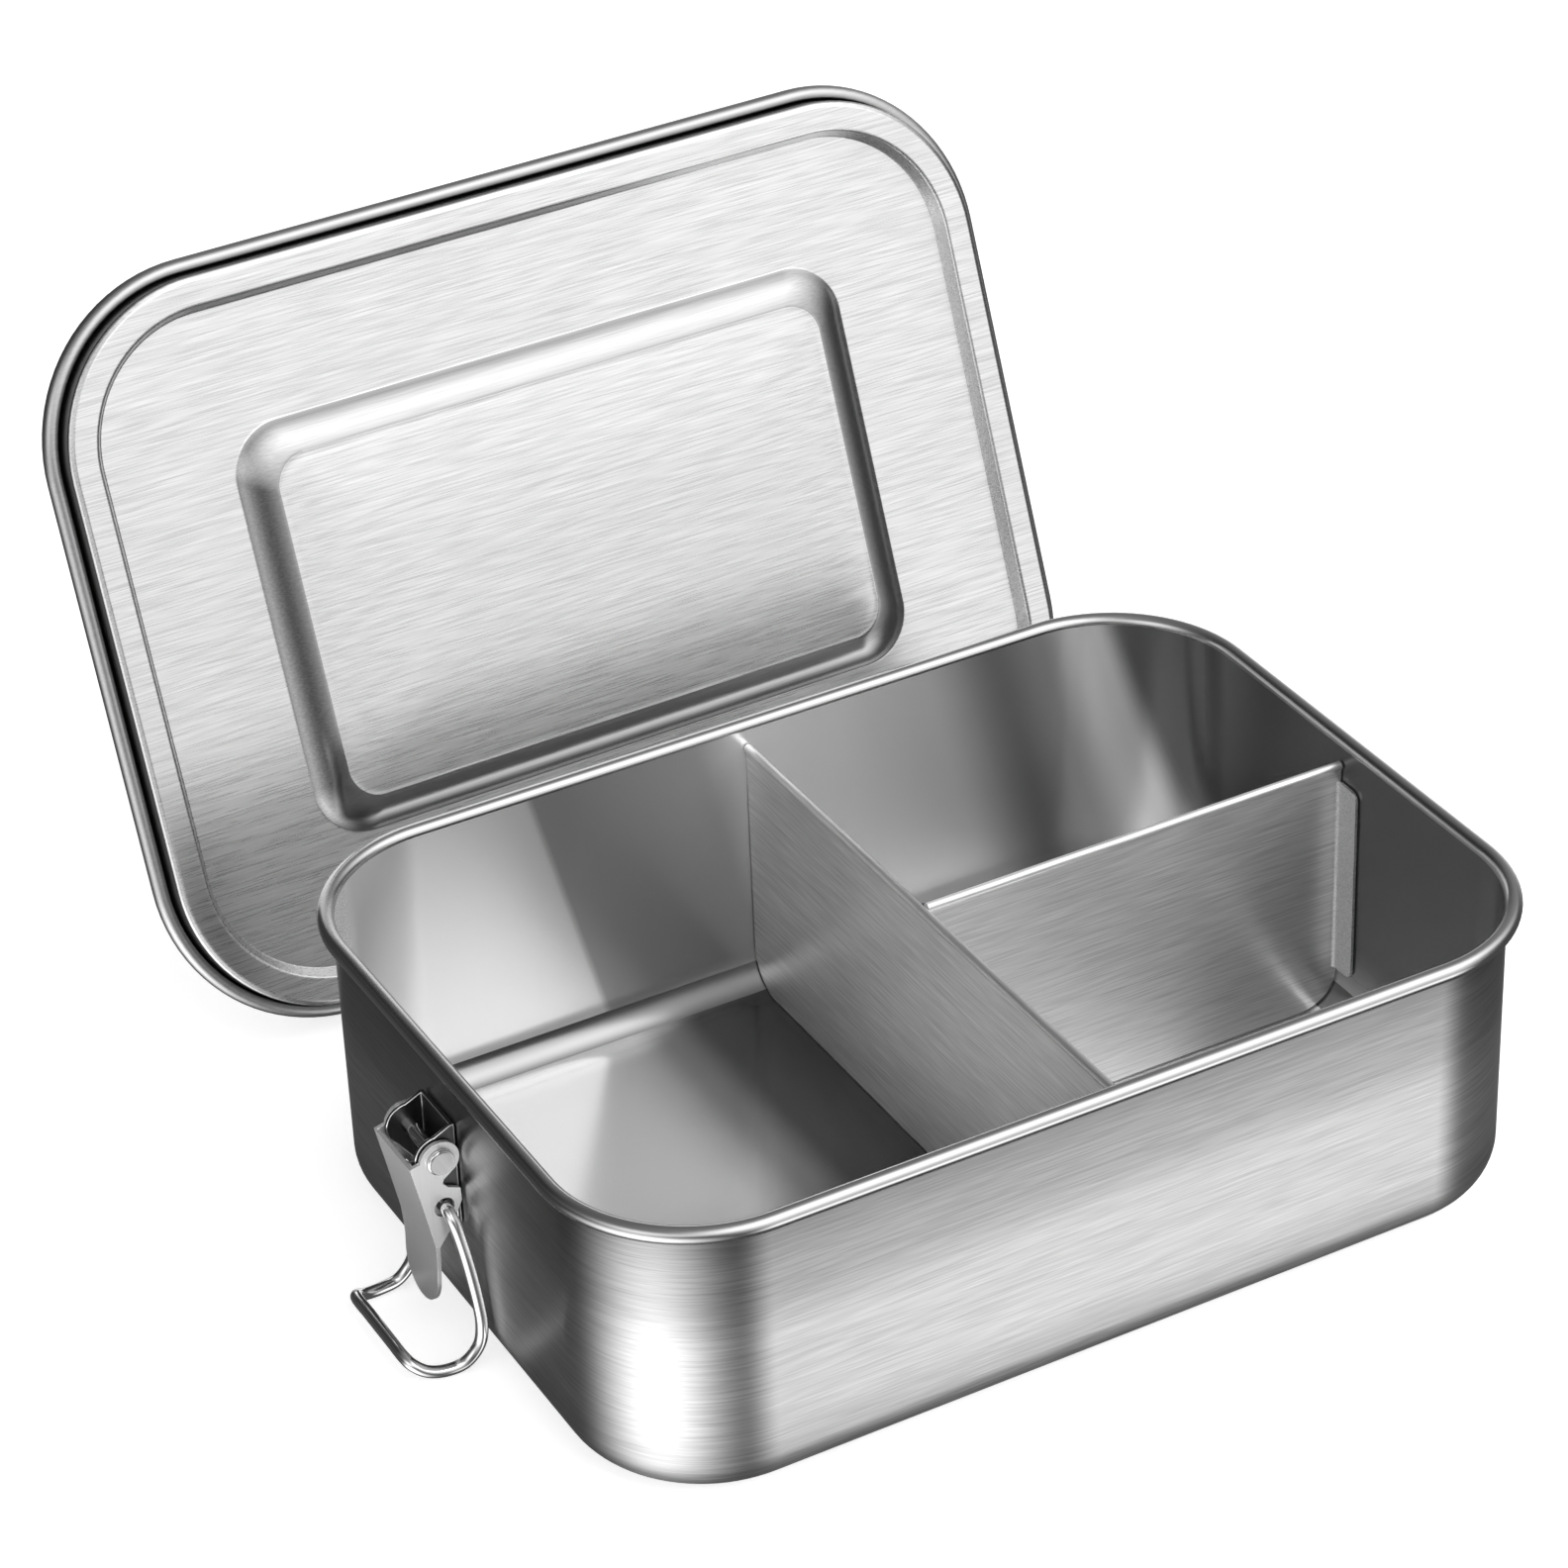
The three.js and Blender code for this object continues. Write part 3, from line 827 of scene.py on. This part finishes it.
def clips():
    for end, side, turn in (("left", -1, math.pi), ("right", 1, 0.0)):
        wall = Vector((side * WALL_X, CLIP_Y, 0)) * MM
        place = Matrix.Translation(wall) @ Matrix.Rotation(turn, 4, "Z")
        made = (
            (bracket(end), "clip_bracket", "tub", "satin_steel"),
            (rivet(end), "pivot_rivet", "tub", "polished_steel"),
            (lever(end), "clip_lever", f"lever_{end}", "satin_steel"),
            (bail(end), "wire_bail", f"bail_{end}", "polished_steel"),
        )
        for piece, node, body, slot in made:
            piece.data.shade_smooth()
            piece.data.transform(place)
            stands_for(piece, f"{node}_{end}", body)


# ---- floor, light and camera ----
def studio_floor():
    """A pale sheet that glows a little, for faint shadows; it isn't mirrored in the steel."""
    far, level = 6000, -0.4
    verts = [(-far, -far, level), (far, -far, level), (far, far, level), (-far, far, level)]
    graph = Graph("floor_paper")
    graph.shader.inputs["Base Color"].default_value = (0.9, 0.9, 0.9, 1)
    graph.shader.inputs["Roughness"].default_value = 0.9
    graph.shader.inputs["Specular IOR Level"].default_value = 0.0
    graph.shader.inputs["Emission Color"].default_value = (1, 1, 1, 1)
    graph.shader.inputs["Emission Strength"].default_value = 0.62
    floor = new_object("studio_floor", verts, [(0, 1, 2, 3)], [graph.material], smooth=False)
    floor.visible_glossy = False
    return floor


# Softboxes: azimuth and elevation of the middle, half width and half height of the bright part,
# and brightness. Angles are in degrees; azimuth 0 is +X and 90 is +Y. The flag is a dark card
# that dims the dome, and the dome brightens from AMBIENT to DOME as its height rises.
SOFTBOXES = [
    (-62, -28, 12, 13, 2.5),
    (-64, 10, 24, 17.5, 1.08),
    (-58, 50, 36, 20, 2.5),
    (207, -32, 26, 26, 3.2),
    (205, 28, 20, 16, 1.4),
    (52, -6, 20, 16, 1.2),
]
FLAG = (118, 34, 42, 30, 0.9)
AMBIENT = 0.1
DOME = 0.36
DOME_RISE = (0.12, 0.45)


def softbox(graph, direction, azimuth, elevation, half_width, half_height, brightness):
    """A soft-edged bright oval in the surroundings."""
    turned, raised = math.radians(azimuth), math.radians(elevation)
    level = math.cos(raised)
    middle = (math.cos(turned) * level, math.sin(turned) * level, math.sin(raised))
    size = (1.4, *(2 * math.sin(math.radians(half)) for half in (half_width, half_height)))
    place = graph.node("ShaderNodeMapping", {"vector_type": "TEXTURE"}, Vector=direction)
    place.inputs["Location"].default_value = middle
    place.inputs["Rotation"].default_value = (0, -raised, turned)
    place.inputs["Scale"].default_value = size
    spherical = {"gradient_type": "SPHERICAL"}
    oval = graph.node("ShaderNodeTexGradient", spherical, Vector=place.outputs["Vector"])
    return graph.smooth(oval.outputs["Fac"], 0, 1, 0, brightness)


class WorldGraph(Graph):
    """The same helper, for the surroundings' nodes."""

    def __init__(self, world):
        world.use_nodes = True
        self.tree = world.node_tree


def studio_world():
    """The surroundings: soft lights for the steel to mirror, and plain white for the camera."""
    world = bpy.data.worlds.new("studio")
    graph = WorldGraph(world)
    direction = graph.node("ShaderNodeTexCoord").outputs["Generated"]
    rise = graph.node("ShaderNodeSeparateXYZ", Vector=direction).outputs["Z"]
    dome = graph.smooth(rise, *DOME_RISE, AMBIENT, DOME)
    unflagged = graph.maths("SUBTRACT", 1.0, softbox(graph, direction, *FLAG))
    total = graph.maths("MULTIPLY", dome, unflagged)
    for box in SOFTBOXES:
        total = graph.maths("ADD", softbox(graph, direction, *box), total)
    shown = graph.node("ShaderNodeMix", {"data_type": "FLOAT"})
    graph.feed(shown.inputs[0], graph.node("ShaderNodeLightPath").outputs["Is Camera Ray"])
    graph.feed(shown.inputs[2], total)
    graph.feed(shown.inputs[3], 1.0)
    background = graph.tree.nodes["Background"]
    graph.feed(background.inputs["Strength"], shown.outputs[0])
    background.inputs["Color"].default_value = (1, 1, 1, 1)
    bpy.context.scene.world = world


# The camera as solved from the tub's edges in the photo: where it is in metres, and its azimuth,
# elevation and roll in degrees.
CAMERA_PLACE = (-0.38005, -0.66913, 0.57647)
CAMERA_ANGLES = (-27.836, 32.467, -2.367)
CAMERA_LENS, CAMERA_SENSOR = 114.58, 36


def camera():
    azimuth, elevation, roll = (math.radians(angle) for angle in CAMERA_ANGLES)
    right = Vector((math.cos(azimuth), math.sin(azimuth), 0))
    level = math.cos(elevation)
    back = Vector((math.sin(azimuth) * level, -math.cos(azimuth) * level, math.sin(elevation)))
    up = back.cross(right)
    across = math.cos(roll) * right + math.sin(roll) * up
    upward = math.cos(roll) * up - math.sin(roll) * right
    data = bpy.data.cameras.new("camera")
    data.sensor_width = CAMERA_SENSOR
    data.lens = CAMERA_LENS
    data.clip_start = 0.01
    data.clip_end = 50
    eye = bpy.data.objects.new("camera", data)
    turned = Matrix((across, upward, back)).transposed().to_4x4()
    eye.matrix_world = Matrix.Translation(CAMERA_PLACE) @ turned
    bpy.context.scene.collection.objects.link(eye)
    bpy.context.scene.camera = eye


tub()
lid()
lid_seal()
dividers()
clips()
studio_floor()
studio_world()
camera()
bpy.context.scene.view_settings.view_transform = "Standard"
